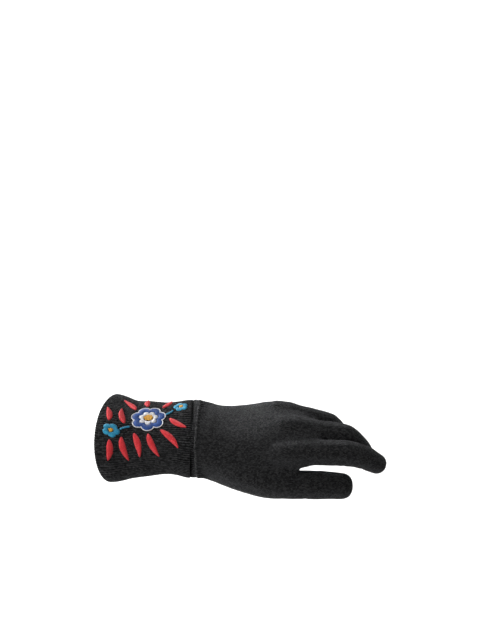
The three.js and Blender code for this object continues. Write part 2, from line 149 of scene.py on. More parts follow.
# The middle lines of the five fingers from the knuckle, each point with the finger's radius there. The finger stands
# free of its neighbours from its root, a length in from the first point, and it bends at the lengths under creases.
# Its own knit starts at the root too, but the thumb's is set in before it. The thumb is raised and its tip shortened.
FINGERS = [
    {"wales": 38, "root": 21, "creases": [54, 74], "line": [
        (151, -24, 7.2, 12), (172, -23.6, 8, 11), (188, -22.9, 7.2, 11), (200, -22.4, 6.4, 11),
        (211, -21.6, 4, 10.7), (221, -20.6, -0.8, 10), (231.5, -20, -8, 9.2)]},
    {"wales": 38, "root": 20, "creases": [56, 75], "line": [
        (152, -2.4, 15, 12), (172, -1.6, 12.4, 10.8), (188, -1.2, 9, 10.7), (202, -1, 6.4, 10.7),
        (213, -1, -0.8, 10.1), (221.5, -2, -12, 9.3), (225.5, -2.6, -18.5, 8.8)]},
    {"wales": 36, "root": 19, "creases": [50, 68], "line": [
        (147, 18.2, 13.8, 12), (166, 18.6, 9.4, 10.4), (181, 19, 4.6, 10.2), (193, 19, -0.2, 10),
        (201.5, 18, -10, 9.4), (206, 16.6, -22, 8.8), (206.6, 15.4, -30, 8.3)]},
    {"wales": 34, "root": 16, "creases": [39, 55], "line": [
        (138, 32, -1.6, 10.7), (153, 34.6, -7, 9.6), (165, 36, -12.4, 9.2), (174, 36, -18.6, 9),
        (181, 34.6, -29, 8.3), (183, 33, -38, 7.9), (182.6, 31.4, -44, 7.5)]},
    {"wales": 42, "root": 12, "set_in": -6, "raised": 0.9, "shorter": 0.8, "creases": [31], "line": [
        (141, -32.6, -18.2, 15.2), (158, -34.2, -21.1, 12.8), (171, -33.7, -22.6, 12.3),
        (186, -32.1, -24.4, 12.3), (201.2, -30.1, -27.4, 11.5)]},
]
# Ovals of the palm from the wrist to the roots of the fingers: x, y and z of the middle, half width, half height.
PALM_OVALS = np.array([
    (62.5, 0.4, 0.4, 34.2, 23.6), (75.5, 0.4, 0.3, 38, 28.2), (98, -0.4, -1, 36.8, 22.8),
    (124, 1.6, 1, 39.4, 18.4), (150, 4, 4, 38.4, 16), (186, -3, 4, 28, 12),
])

bpy.ops.object.select_all(action="DESELECT")
for name in ["hand", *FINGER_NODES]:
    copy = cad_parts[name].copy()
    copy.data = copy.data.copy()
    bpy.context.scene.collection.objects.link(copy)
    copy.select_set(True)
    bpy.context.view_layer.objects.active = copy
bpy.ops.object.join()
hand = bpy.context.object
hand.name = "knitted_hand"
hand.data.materials.clear()
bpy.ops.object.mode_set(mode="EDIT")
bpy.ops.mesh.select_all(action="SELECT")
bpy.ops.mesh.remove_doubles(threshold=0.005 * MM)
bpy.ops.object.mode_set(mode="OBJECT")
swell = hand.modifiers.new("swell", "DISPLACE")  # closes the hairline gaps between the solids
swell.mid_level = 0
swell.strength = SWELL * MM
bpy.ops.object.modifier_apply(modifier=swell.name)
remesh = hand.modifiers.new("remesh", "REMESH")
remesh.mode = "VOXEL"
remesh.voxel_size = VOXEL
bpy.ops.object.modifier_apply(modifier=remesh.name)

# The solids are sleeves with an inside and an outside: the rim at the wrist is cut away, and the largest of the
# sheets that are left is the outside.
knit = bmesh.new()
knit.from_mesh(hand.data)
rim = [f for f in knit.faces if f.calc_center_median().x < WRIST_RIM + 0.8 * VOXEL]
bmesh.ops.delete(knit, geom=rim, context="FACES")
unseen = set(knit.faces)
sheets = []
while unseen:
    sheet = [unseen.pop()]
    for face in sheet:
        for edge in face.edges:
            for other in edge.link_faces:
                if other in unseen:
                    unseen.remove(other)
                    sheet.append(other)
    sheets.append(sheet)
sheets.sort(key=len, reverse=True)
bmesh.ops.delete(knit, geom=[f for sheet in sheets[1:] for f in sheet], context="FACES")
bmesh.ops.delete(knit, geom=[v for v in knit.verts if not v.link_faces], context="VERTS")
knit.to_mesh(hand.data)
knit.free()
smooth = hand.modifiers.new("smooth", "SMOOTH")
smooth.factor = 0.5
smooth.iterations = SMOOTH_STEPS
bpy.ops.object.modifier_apply(modifier=smooth.name)


def read_points(mesh, what="co"):
    values = np.empty(len(mesh.vertices) * 3)
    mesh.vertices.foreach_get(what, values)
    return values.reshape(-1, 3)


points = read_points(hand.data) / MM
normals = read_points(hand.data, "normal")


def spline(a, b, c, d, t):
    """A smooth curve from b to c, which a comes before and d comes after."""
    return 0.5 * (2 * b + (c - a) * t + (2 * a - 5 * b + 4 * c - d) * t**2 + (3 * b - a - 3 * c + d) * t**3)


def smooth_line(rows, step=1.0):
    """Points a step apart on a smooth curve through the rows: places, radii, directions, lengths from the start."""
    rows = np.array(rows, float)
    ends = np.vstack([2 * rows[0] - rows[1], rows, 2 * rows[-1] - rows[-2]])
    made = []
    for a, b, c, d in zip(ends, ends[1:], ends[2:], ends[3:]):
        for t in np.linspace(0, 1, max(2, int(np.linalg.norm((c - b)[:3]) / step)), endpoint=False):
            made.append(spline(a, b, c, d, t))
    made = np.array([*made, rows[-1]])
    places, radii = made[:, :3], made[:, 3]
    along = np.gradient(places, axis=0)
    along /= np.linalg.norm(along, axis=1)[:, None]
    lengths = np.concatenate([[0], np.cumsum(np.linalg.norm(np.diff(places, axis=0), axis=1))])
    return places, radii, along, lengths


def on_tube(points, line):
    """Where points lie on a tube: the length along it, the turn round it from +Y over the back, and the distance
    from its middle in radii."""
    places, radii, along, lengths = line
    nearest = np.array([np.argmin(((places - p) ** 2).sum(axis=1)) for p in points])
    offset = points - places[nearest]
    ahead = along[nearest]
    across = np.array([0.0, 1.0, 0.0]) - ahead * ahead[:, 1:2]
    across /= np.linalg.norm(across, axis=1)[:, None]
    up = np.cross(ahead, across)
    length = lengths[nearest] + (offset * ahead).sum(axis=1)
    sideways, upward = (offset * across).sum(axis=1), (offset * up).sum(axis=1)
    return length, np.arctan2(upward, sideways), np.hypot(sideways, upward) / radii[nearest]


def on_palm(points):
    """The turn round the palm, and the share of the way round it, evened out along the oval."""
    x = points[:, 0]
    y, z, wide, high = (np.interp(x, PALM_OVALS[:, 0], PALM_OVALS[:, k]) for k in (1, 2, 3, 4))
    turn = np.arctan2((points[:, 2] - z) / high, (points[:, 1] - y) / wide) % (2 * np.pi)
    turns = np.linspace(0, 2 * np.pi, 181)
    shares = []
    for _, _, half_wide, half_high in PALM_OVALS[:, 1:]:
        pace = np.hypot(half_wide * np.sin(turns), half_high * np.cos(turns))
        walked = np.concatenate([[0], np.cumsum((pace[1:] + pace[:-1]) / 2)])
        shares.append(walked / walked[-1])
    shares = np.array(shares)
    row = np.interp(x, PALM_OVALS[:, 0], np.arange(len(PALM_OVALS)))
    low = np.minimum(row.astype(int), len(PALM_OVALS) - 2)
    column = turn / (2 * np.pi) * 180
    left = np.minimum(column.astype(int), 179)
    a, b = row - low, column - left
    share = (
        (1 - a) * ((1 - b) * shares[low, left] + b * shares[low, left + 1])
        + a * ((1 - b) * shares[low + 1, left] + b * shares[low + 1, left + 1])
    )
    return turn, share


def bump(distance, width):
    return np.exp(-((distance / width) ** 2))


def cloudy(points, size, seed):
    """Smooth random values from -1 to 1 that change over the size given, in millimetres."""
    start = Vector((seed * 17.3, seed * 5.1, seed * 9.7))
    return np.array([noise.noise(Vector(p / size) + start) for p in points])


LINKING_ROW_X = 77.8


def linking_row(turn):
    """Where along the glove the hand is linked to the end of the ribs, at a turn round the wrist. It wanders."""
    return LINKING_ROW_X + 1.1 * np.cos(2 * turn - np.pi / 2) + 0.2 * np.sin(7 * turn)


# Creases and unevenness of the cloth, as a lift off the smooth shell. Short gathers run up from the row where the
# hand is joined to the cuff, a shoulder fills the step beside the ribs' free edge, the fingers fold inside their
# bends, and small wrinkles fan out from the crotch of the thumb.
GATHERS = 56  # round the wrist
RIBS_END = 74
THUMB_CROTCH = np.array([157.0, -29.0, -9.0])
turn, share = on_palm(points)
x = points[:, 0]
lift = np.full(len(points), REGAIN)
lift += 0.3 * cloudy(points, 16, 1) + 0.14 * cloudy(points, 6, 2)
around_wrist = cloudy(np.stack([np.cos(turn) * 30, np.sin(turn) * 30, 0 * x], axis=1), 9, 3)
gather_reach = 9 + 4 * np.cos(2 * turn - np.pi / 2) + 5 * around_wrist
past_row = x - linking_row(turn)
gathers = np.clip(1 - past_row / gather_reach, 0, 1) * np.clip(past_row + 1, 0, 1)
edge_on = np.cos(2 * turn - np.pi / 2)
lift += (0.5 + 0.2 * edge_on) * gathers * np.cos(2 * np.pi * GATHERS * share + 2.2 * cloudy(points, 14, 4))
below = np.clip(-np.cos(turn - np.pi / 4), 0, 1)
past_ribs = x - RIBS_END + 1.3 * below**2
shoulder = 0.4 + 1.4 * np.clip(edge_on, 0, 1) ** 3 + 0.8 * below**4
lift += shoulder * bump(past_ribs, np.where(past_ribs < 0, 1.4, 2.6))
from_crotch = points - THUMB_CROTCH
crotch_range = np.linalg.norm(from_crotch, axis=1)
crotch_turn = np.arctan2(from_crotch[:, 2], from_crotch[:, 0])
lift += 0.4 * bump(crotch_range - 9, 7) * np.cos(9 * crotch_turn + 1.5 * cloudy(points, 8, 5))

OWN_KNIT_REACH = 1.2  # radii out from a finger's middle line, past which the knit is the hand's
region = np.zeros(len(points), int)
closeness = np.full(len(points), OWN_KNIT_REACH)
raised = np.zeros(len(points))
FAR = 9.0  # radii, from a finger that isn't near
nearest, second, past_root = np.full(len(points), FAR), np.full(len(points), FAR), np.zeros(len(points))
wale = [share * PALM_WALES]
course = [x / COURSE]
for number, finger in enumerate(FINGERS, 1):
    line = smooth_line(finger["line"])
    length, around, radii_out = on_tube(points, line)
    inside_bend = np.clip(-np.sin(around), 0, 1)
    on_finger = np.clip(1.5 - radii_out, 0, 0.3) / 0.3
    for crease in finger["creases"]:
        fold = -0.4 * bump(length - crease, 1.6) + 0.15 * bump(length - crease - 3.4, 1.8)
        fold += 0.15 * bump(length - crease + 3.4, 1.8)
        knuckle = 0.45 * bump(length - crease, 5) * np.clip(np.sin(around), 0, 1)
        lift += on_finger * (fold * inside_bend + knuckle)
    tip_radius, tip_start = line[1][-1], line[3][-1]
    past = np.clip((length - tip_start) / tip_radius, 0, None)
    slope = np.arctan2(past, np.clip(radii_out, 0.01, None))
    blunt = (np.cos(slope) ** TIP_SQUARE + np.sin(slope) ** TIP_SQUARE) ** (-1 / TIP_SQUARE) - 1
    lift += tip_radius * on_finger * np.clip(past * 3 + 1, 0, 1) * np.where(length > tip_start - 2, blunt, 0)
    lift -= finger.get("shorter", 0) * on_finger * np.clip(past, 0, 1) ** 2
    raised += finger.get("raised", 0) * on_finger * np.clip(length / 25, 0, 1)
    wale.append(around / (2 * np.pi) * finger["wales"])
    course.append((finger["line"][0][0] + length) / COURSE)
    near = np.where(length > finger["root"] - 7, radii_out, FAR)
    second = np.minimum(second, np.maximum(nearest, near))
    past_root = np.where(near < nearest, length - finger["root"], past_root)
    nearest = np.minimum(nearest, near)
    mine = (length > finger.get("set_in", finger["root"])) & (radii_out < closeness)
    region[mine] = number
    closeness[mine] = radii_out[mine]
between_fingers = bump(second - nearest, 0.2) * np.clip((1.6 - second) / 0.3, 0, 1)
lift += between_fingers * np.interp(past_root, [-6, 3, 9, 18], [0, 1.3, 0.4, -1.6])
points += normals * lift[:, None]
points[:, 2] += raised
points[:, 0] += (linking_row(turn) - LINKING_ROW_X - 0.1) * bump(x - RIBS_END - 1.5, 3.5)
hand.data.vertices.foreach_set("co", (points * MM).ravel())
hand.data.update()
# Painted shade: in the gathers and in the gap beside the ribs' free edge, the valleys between the wales are sunk
# deeper, and their colour and shine are also darkened.
sunk_wales_and_painted_shade = hand.data.attributes.new("sunk wales and painted shade", "FLOAT", "POINT")
in_the_gap = bump(x - RIBS_END - 0.2 + below, 1.3 + 0.7 * below)
sunk_wales_and_painted_shade.data.foreach_set("value", gathers * (1.7 + edge_on) + (2.4 + 5 * below) * in_the_gap)


def lay_stitches(mesh, wale, course, around, region):
    """Gives every corner its place in the knit, wales across and courses up. Each region of the mesh is a tube whose
    last wale meets its first, so a face across that line counts on."""
    corners = np.empty(len(mesh.loops), int)
    mesh.loops.foreach_get("vertex_index", corners)
    sides = np.empty(len(mesh.polygons), int)
    mesh.polygons.foreach_get("loop_total", sides)
    first = np.repeat(np.concatenate([[0], np.cumsum(sides)[:-1]]), sides)
    tube = region[corners][first]
    across, up = np.array(wale)[tube, corners], np.array(course)[tube, corners]
    turns = np.array(around)[tube]
    across += turns * np.round((across[first] - across) / turns)
    stitches = mesh.uv_layers.new(name="stitches")
    stitches.data.foreach_set("uv", np.stack([across, up], axis=1).ravel())


lay_stitches(hand.data, wale, course, [PALM_WALES, *[f["wales"] for f in FINGERS]], region)


def shade(tree, kind, wires=None, **settings):
    """Adds a node to a tree. Wires gives its inputs their values, or the outputs that feed them."""
    node = tree.nodes.new(kind)
    for key, value in settings.items():
        setattr(node, key, value)
    for socket, value in (wires or {}).items():
        if isinstance(value, bpy.types.NodeSocket):
            tree.links.new(value, node.inputs[socket])
        else:
            node.inputs[socket].default_value = value
    return node


def figure(tree, operation, *values):
    return shade(tree, "ShaderNodeMath", dict(enumerate(values)), operation=operation).outputs[0]


def new_group(name, inputs, outputs):
    group = bpy.data.node_groups.new(name, "ShaderNodeTree")
    for label, kind in inputs:
        group.interface.new_socket(label, in_out="INPUT", socket_type="NodeSocket" + kind)
    for label, kind in outputs:
        group.interface.new_socket(label, in_out="OUTPUT", socket_type="NodeSocket" + kind)
    return group, group.nodes.new("NodeGroupInput").outputs, group.nodes.new("NodeGroupOutput").inputs


# Plain knit: each wale is a column of V stitches. Height is the round of a stitch's two legs with the twist of their
# yarn, Leg is a different number for every leg, and Between is the valley from one wale to the next.
knit_stitch, given, made = new_group(
    "knit stitch",
    [("Stitches", "Vector"), ("Slant", "Float"), ("Twist", "Float")],
    [("Height", "Float"), ("Leg", "Vector"), ("Between", "Float")],
)
knit = partial(figure, knit_stitch)
place = shade(knit_stitch, "ShaderNodeSeparateXYZ", {0: given["Stitches"]})
from_middle = knit("ABSOLUTE", knit("SUBTRACT", knit("FRACT", place.outputs[0]), 0.5))
row = knit("SUBTRACT", place.outputs[1], knit("MULTIPLY", from_middle, given["Slant"]))
up_leg = knit("SINE", knit("MULTIPLY", knit("FRACT", row), math.pi))
over_leg = knit("SINE", knit("MULTIPLY", from_middle, 2 * math.pi))
round_leg = knit("MULTIPLY", knit("POWER", up_leg, 0.6), knit("POWER", over_leg, 0.7))
ply = knit("MULTIPLY", knit("ADD", row, knit("MULTIPLY", from_middle, 5)), 4 * math.pi)
ply = knit("MULTIPLY", knit("SINE", ply), given["Twist"])
knit_stitch.links.new(knit("ADD", round_leg, ply), made["Height"])
leg = shade(knit_stitch, "ShaderNodeCombineXYZ", {
    0: knit("FLOOR", knit("MULTIPLY", place.outputs[0], 2)),
    1: knit("FLOOR", row),
})
knit_stitch.links.new(leg.outputs[0], made["Leg"])
between = knit("POWER", knit("MULTIPLY", from_middle, 2), 2.5)
knit_stitch.links.new(between, made["Between"])

# Melange: dark and light fibres spun together, so each stitch is of another grey, in short streaks along the yarn
# and in soft clouds.
melange, given, made = new_group(
    "melange",
    [("Leg", "Vector"), ("Place", "Vector"), ("Dark", "Color"), ("Light", "Color")],
    [("Color", "Color"), ("Fuzz", "Float")],
)
blended = partial(figure, melange)
stitch_grey = shade(melange, "ShaderNodeTexWhiteNoise", {"Vector": given["Leg"]}).outputs["Value"]
course_row = shade(melange, "ShaderNodeSeparateXYZ", {0: given["Leg"]})
along_yarn = shade(melange, "ShaderNodeCombineXYZ", {
    0: blended("MULTIPLY", course_row.outputs[0], 0.45),
    1: blended("MULTIPLY", course_row.outputs[1], 5.3),
})
streaks, clouds, fibres = (
    shade(melange, "ShaderNodeTexNoise", {"Vector": where, "Scale": scale, "Detail": detail}).outputs["Fac"]
    for where, scale, detail in (
        (along_yarn.outputs[0], 1.0, 1.0), (given["Place"], 480.0, 2.0), (given["Place"], 2600.0, 3.0))
)
grey = blended("MULTIPLY", blended("POWER", stitch_grey, 2.0), 1.1)
grey = blended("ADD", grey, blended("MULTIPLY_ADD", streaks, 1.4, -0.7))
grey = blended("ADD", grey, blended("MULTIPLY_ADD", clouds, 1.5, -0.8))
grey = blended("ADD", grey, blended("MULTIPLY_ADD", fibres, 1.2, -0.45))
blend = shade(melange, "ShaderNodeMix", {0: grey, 6: given["Dark"], 7: given["Light"]}, data_type="RGBA")
melange.links.new(blend.outputs[2], made["Color"])
melange.links.new(fibres, made["Fuzz"])


WOOL_SHINE, WOOL_BLOOM = 0.2, 0.13


def wool(name, dark, light, slant, relief, sunken=True):
    """A matte knitted wool with a soft bloom of fibre ends. A mesh in sunken wool has a sunk wales and painted shade
    attribute, which deepens the valleys between its wales and paints shade into them: it darkens their colour and
    takes their shine away."""
    material = bpy.data.materials.new(name)
    material.use_nodes = True
    tree = material.node_tree
    shader = tree.nodes["Principled BSDF"]
    stitches = shade(tree, "ShaderNodeUVMap", uv_map="stitches")
    stitch = shade(tree, "ShaderNodeGroup", node_tree=knit_stitch)
    tree.links.new(stitches.outputs[0], stitch.inputs["Stitches"])
    stitch.inputs["Slant"].default_value = slant
    stitch.inputs["Twist"].default_value = 0.1
    yarn = shade(tree, "ShaderNodeGroup", node_tree=melange)
    tree.links.new(stitch.outputs["Leg"], yarn.inputs["Leg"])
    tree.links.new(shade(tree, "ShaderNodeTexCoord").outputs["Object"], yarn.inputs["Place"])
    yarn.inputs["Dark"].default_value = dark
    yarn.inputs["Light"].default_value = light
    sunk = shade(tree, "ShaderNodeAttribute", attribute_name="sunk wales and painted shade").outputs["Fac"]
    # Painted shade: the colour is darker where a stitch is low and lighter on its round legs, and darker still in the
    # valleys between wales.
    sunk = figure(tree, "MULTIPLY", stitch.outputs["Between"], sunk)
    unshaded = figure(tree, "MAXIMUM", figure(tree, "MULTIPLY_ADD", sunk, -0.8, 1), 0.1)
    shadowed = figure(tree, "MULTIPLY_ADD", stitch.outputs["Height"], 0.5, 0.6)
    shadowed = figure(tree, "MULTIPLY", shadowed, unshaded)
    tint = shade(tree, "ShaderNodeMix", {0: 1.0, 6: yarn.outputs["Color"]}, data_type="RGBA", blend_type="MULTIPLY")
    tree.links.new(shadowed, tint.inputs[7])
    tree.links.new(tint.outputs[2], shader.inputs["Base Color"])
    height = figure(tree, "MULTIPLY_ADD", yarn.outputs["Fuzz"], 0.35, stitch.outputs["Height"])
    height = figure(tree, "SUBTRACT", height, sunk)
    surface = shade(tree, "ShaderNodeBump", {"Height": height, "Strength": 0.9, "Distance": relief})
    tree.links.new(surface.outputs[0], shader.inputs["Normal"])
    # Painted shade: the specular level and the sheen are scaled down with the darkening in the valleys.
    for socket, value in (("Specular IOR Level", WOOL_SHINE), ("Sheen Weight", WOOL_BLOOM)):
        shader.inputs[socket].default_value = value
        if sunken:
            tree.links.new(figure(tree, "MULTIPLY", unshaded, value), shader.inputs[socket])
    shader.inputs["Roughness"].default_value = 0.92
    shader.inputs["Sheen Roughness"].default_value = 0.5
    shader.inputs["Sheen Tint"].default_value = (0.75, 0.77, 0.82, 1)
    return material


charcoal_knit = wool("charcoal_knit", (0.0015, 0.0015, 0.0016, 1), (0.04, 0.04, 0.0408, 1), 1.5, 0.4 * MM)
hand.data.materials.append(charcoal_knit)
hand_skin = BVHTree.FromPolygons([Vector(p) for p in points], [tuple(f.vertices) for f in hand.data.polygons])
wall = hand.modifiers.new("wall", "SOLIDIFY")
wall.thickness = CLOTH_THICKNESS
wall.offset = -1
bpy.ops.object.modifier_apply(modifier=wall.name)
for polygon in hand.data.polygons:
    polygon.use_smooth = True
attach(hand, "root")
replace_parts(hand, "hand", *FINGER_NODES)

# Ribbed cuff. One knit rib and one sunk rib in turn, about 2 mm a pair, worked as one long tube and turned up over
# itself: the outer layer ends in a free edge at the wrist, where the ribs stand out like a comb.
CUFF_LENGTH = 72.5
CUFF_UNDERLAP = 10
RIB_LAYER = 1.8
LAYER_GAP = 0.5
RIBS = 104
RIB_SAMPLES = 6
RIB_RELIEF = 0.72
RIB_COURSE = 1.3
COMB_TEETH, COMB_REACH, COMB_RINGS = 0.5, 1.5, 6
DRAWN_BACK, DRAWN_FROM = 1.3, 50  # how far the free edge is drawn back under the wrist, and where that starts
LEAN_REACH = 60  # how far up the cuff the mouth's slant and bow are felt
MOUTH_SLANT_Y, MOUTH_SLANT_Z = 0.144, -0.211
MOUTH_BOW, BOW_Y, BOW_Z = 0.00125, 0.873, 0.487
CUFF_OVALS = np.array([
    (0, 0.5, 0.6, 43.5, 32.4), (9, 0.1, 0.1, 42.3, 31.5), (22, -0.3, -0.3, 38.4, 28), (35, 0.4, 0.4, 37.1, 26.9),
    (50, 0.9, 0.9, 36, 25.6), (60, 0.9, 0.9, 36.6, 26.3), (67, 0.5, 0.5, 37.8, 27.9), (72.5, 0.2, 0.2, 38.3, 28.4),
])


def cuff_oval(p):
    """The cuff's section at the places p along it: y and z of its middle, half width and half height."""
    rows = CUFF_OVALS
    i = np.clip(np.searchsorted(rows[:, 0], p, side="left") - 1, 0, len(rows) - 2)
    t = np.clip((p - rows[i, 0]) / (rows[i + 1, 0] - rows[i, 0]), 0, 1)[:, None]
    a, b, c, d = (rows[np.clip(i + k, 0, len(rows) - 1), 1:] for k in (-1, 0, 1, 2))
    return spline(a, b, c, d, t).T


def cuff_sway(p, turn):
    """How far the soft cuff stands off its even form."""
    slow = 0.3 * np.sin(3 * turn + 0.05 * p + 0.6) + 0.22 * np.sin(5 * turn - 0.09 * p)
    return slow + 0.14 * np.sin(0.17 * p + 2 * turn + 1.3)


def cuff_point(p, turn, lift):
    """The point over the cuff at p along it and a turn round it, lifted off it. The mouth slants and is bowed."""
    y, z, wide, high = cuff_oval(p)
    across, up = np.cos(turn) / wide, np.sin(turn) / high
    size = np.hypot(across, up)
    lift = lift + cuff_sway(p, turn)
    y = y + wide * np.cos(turn) + lift * across / size
    z = z + high * np.sin(turn) + lift * up / size
    slant = np.maximum(0, 1 - np.maximum(0, p) / LEAN_REACH)
    x = p + slant * (MOUTH_SLANT_Y * y + MOUTH_SLANT_Z * z + MOUTH_BOW * (BOW_Y * y + BOW_Z * z) ** 2)
    return np.stack([x, y, z], axis=-1)


def tube_faces(rings, around, closed):
    """Faces of a list of rings of points. Closed joins the last ring to the first, and otherwise both ends get a fan
    round a point of their own, the last two points of the mesh."""
    ring, step = np.meshgrid(np.arange(rings if closed else rings - 1), np.arange(around), indexing="ij")
    here, ahead = ring * around, (ring + 1) % rings * around
    side = (step + 1) % around
    faces = np.stack([here + step, here + side, ahead + side, ahead + step], axis=-1).reshape(-1, 4).tolist()
    if not closed:
        first, last = rings * around, rings * around + 1
        for i in range(around):
            j = (i + 1) % around
            faces.append((first, j, i))
            faces.append((last, (rings - 1) * around + i, (rings - 1) * around + j))
    return faces


def make_piece(name, points, faces, material):
    mesh = bpy.data.meshes.new(name)
    corners = [[f[0], f[k], f[k + 1]] for f in faces for k in range(1, len(f) - 1)]
    a, b, c = (points[np.array(corners)[:, k]] for k in range(3))
    if (np.cross(a, b) * c).sum() < 0:  # inside out
        faces = [f[::-1] for f in faces]
    mesh.from_pydata((points * MM).tolist(), [], faces)
    mesh.update()
    mesh.materials.append(material)
    mesh.shade_smooth()
    piece = bpy.data.objects.new(name, mesh)
    bpy.context.scene.collection.objects.link(piece)
    return piece


# The linking row is a chain of stitches round the wrist, which joins the hand to the end of the ribs.
WRIST_Y, WRIST_Z, WRIST_HALF_WIDTH, WRIST_HALF_HEIGHT = 0.4, 0.3, 38, 28.2
ROW_RADIUS, ROW_FLATNESS, ROW_SUNK = 0.8, 1.5, 0.3
RING_POINTS = 10
found = []
for spoke in np.linspace(0, 2 * np.pi, 720, endpoint=False):
    inward = Vector((0, -WRIST_HALF_WIDTH * math.cos(spoke), -WRIST_HALF_HEIGHT * math.sin(spoke))).normalized()
    found.append(hand_skin.ray_cast(Vector((linking_row(spoke), WRIST_Y, WRIST_Z)) - 70 * inward, inward)[0])
found = np.array([*found, found[0]])
walked = np.concatenate([[0], np.cumsum(np.linalg.norm(np.diff(found, axis=0), axis=1))])
stitch = np.arange(PALM_WALES * 8) / 8
centre = np.stack([np.interp(stitch / PALM_WALES * walked[-1], walked, found[:, k]) for k in range(3)], axis=1)
ahead = np.roll(centre, -1, axis=0) - np.roll(centre, 1, axis=0)
ahead /= np.linalg.norm(ahead, axis=1)[:, None]
out = np.cross(ahead, [1.0, 0.0, 0.0])
out *= np.sign((out * (centre - [0, WRIST_Y, WRIST_Z])).sum(axis=1))[:, None]
ring = np.linspace(0, 2 * np.pi, RING_POINTS, endpoint=False)
thick = ROW_RADIUS * (1 + 0.16 * np.cos(2 * ring - 2 * np.pi * stitch[:, None]))
chain = (centre - ROW_SUNK * out)[:, None] + thick[..., None] * (
    np.cos(ring)[:, None] * out[:, None] + np.sin(ring)[:, None] * np.array([ROW_FLATNESS, 0.0, 0.0])
)
# Painted highlight: the linking row's doubled yarn has lighter greys than the knit, so that the ridge looks lit.
doubled_yarn_painted_highlight = wool("doubled_yarn_painted_highlight", (0.009, 0.009, 0.0092, 1), (0.08, 0.08, 0.081, 1), 1.3, 0.3 * MM, sunken=False)
linking = make_piece("linking_row", chain.reshape(-1, 3), tube_faces(len(chain), RING_POINTS, True), doubled_yarn_painted_highlight)
lay_stitches(
    linking.data,
    [np.repeat(stitch, RING_POINTS)],
    [np.tile(ring / 2, len(chain))],
    [PALM_WALES],
    np.zeros(chain.size // 3, int),
)
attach(linking, "root")

# The wall's outline, from the free edge over the outside to the mouth, round the fold, up the inside, and back
# through the gap between the two layers: place, depth under the outside, and share of the ribs' relief.
fold = RIB_LAYER + LAYER_GAP / 2
inner_end = CUFF_LENGTH - CUFF_UNDERLAP - 0.3
outline = [(CUFF_LENGTH, 1.2, 0.6), (CUFF_LENGTH + 0.25, 0.7, 0.8), (CUFF_LENGTH + 0.15, 0.25, 1)]
outline += [(p, 0, 1) for p in np.linspace(CUFF_LENGTH - 0.4, fold, 56)]
outline += [(fold - fold * math.sin(a), fold - fold * math.cos(a), 1) for a in np.linspace(0, math.pi, 11)[1:]]
outer_rings = len(outline) - 5  # up to the middle of the fold
outline += [(p, 2 * fold, 1) for p in np.linspace(fold, inner_end, 24)[1:]]
outline += [(inner_end + 0.2, 2 * fold - 0.9, 0.4), (inner_end, fold + LAYER_GAP / 2, 0)]
outline += [(p, fold + LAYER_GAP / 2, 0) for p in (44, 24, fold + 0.4)]
outline += [(p, fold - LAYER_GAP / 2, 0) for p in (fold + 0.4, 24, 44, 62)]
outline += [(CUFF_LENGTH - 0.3, RIB_LAYER, 0.3)]
outline = np.array(outline)
around = RIBS * RIB_SAMPLES
rib_place = np.arange(around) / RIB_SAMPLES
rib_height = np.abs(np.sin(np.pi * rib_place)) ** 0.7 - 0.55
wander = 0.22 * np.sin(2 * np.pi * rib_place / 17 + 1) + 0.16 * np.sin(2 * np.pi * rib_place / 7.3)
rings, lengths = [], [0.0]
for k, (p, depth, relief) in enumerate(outline):
    even_turn = 2 * np.pi * (rib_place + wander * math.sin(0.06 * p + 1)) / RIBS
    _, _, wide, high = cuff_oval(np.array([p]))
    turns = np.linspace(0, 2 * np.pi, 361)
    pace = np.hypot(wide * np.sin(turns), high * np.cos(turns))
    walked = np.concatenate([[0], np.cumsum((pace[1:] + pace[:-1]) / 2)])
    turn_at = np.interp(even_turn / (2 * np.pi) * walked[-1] % walked[-1], walked, turns)
    lift = -depth + (RIB_RELIEF if k < outer_rings else -RIB_RELIEF) * relief * rib_height
    comb = COMB_TEETH * rib_height * max(0, 1 - abs(p - CUFF_LENGTH) / COMB_REACH) * (k < COMB_RINGS)
    underneath = np.clip(-np.cos(turn_at - np.pi / 4), 0, 1) ** 2
    drawn_back = DRAWN_BACK * underneath * max(0, (p - DRAWN_FROM) / (CUFF_LENGTH - DRAWN_FROM)) ** 2
    rings.append(cuff_point(p + comb - drawn_back, turn_at, lift))
    if k:
        lengths.append(lengths[-1] + float(np.linalg.norm(rings[k][0] - rings[k - 1][0])))
cuff_points = np.concatenate(rings)
charcoal_rib = wool("charcoal_rib", (0.0015, 0.0015, 0.0016, 1), (0.052, 0.052, 0.053, 1), 1.3, 0.35 * MM)
cuff = make_piece("ribbed_cuff_turned_up", cuff_points, tube_faces(len(rings), around, True), charcoal_rib)
lay_stitches(
    cuff.data,
    [np.tile(rib_place, len(rings))],
    [np.repeat(np.array(lengths) / RIB_COURSE, around)],
    [RIBS],
    np.zeros(len(cuff_points), int),
)
# Painted shade: the valleys between the ribs are sunk deeper and are also darkened and lose their shine all over the
# cuff, more towards its free edge.
sunk_wales_and_painted_shade = cuff.data.attributes.new("sunk wales and painted shade", "FLOAT", "POINT")
near_edge = np.clip((np.repeat(outline[:, 0], around) - 48) / 20, 0, 1)
sunk_wales_and_painted_shade.data.foreach_set("value", 0.95 + 0.8 * near_edge)
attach(cuff, "root")
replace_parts(cuff, "ribbed_cuff")

# Embroidered spray. Satin stitch in glossy thread over a low padding: each leaf and petal is a row of threads laid
# side by side, the hearts are French knots, and the stems and the edging are twisted threads couched down.
THREAD = 0.42  # from one laid thread to the next
THREAD_SAMPLES = 4
THREAD_RELIEF = 0.13
PADDING_FOOT = 0.1  # the underside of the stitches, sunk among the ribs
STITCH_SLANT = 0.55
FREE = 1e9  # a tube of threads that doesn't meet itself

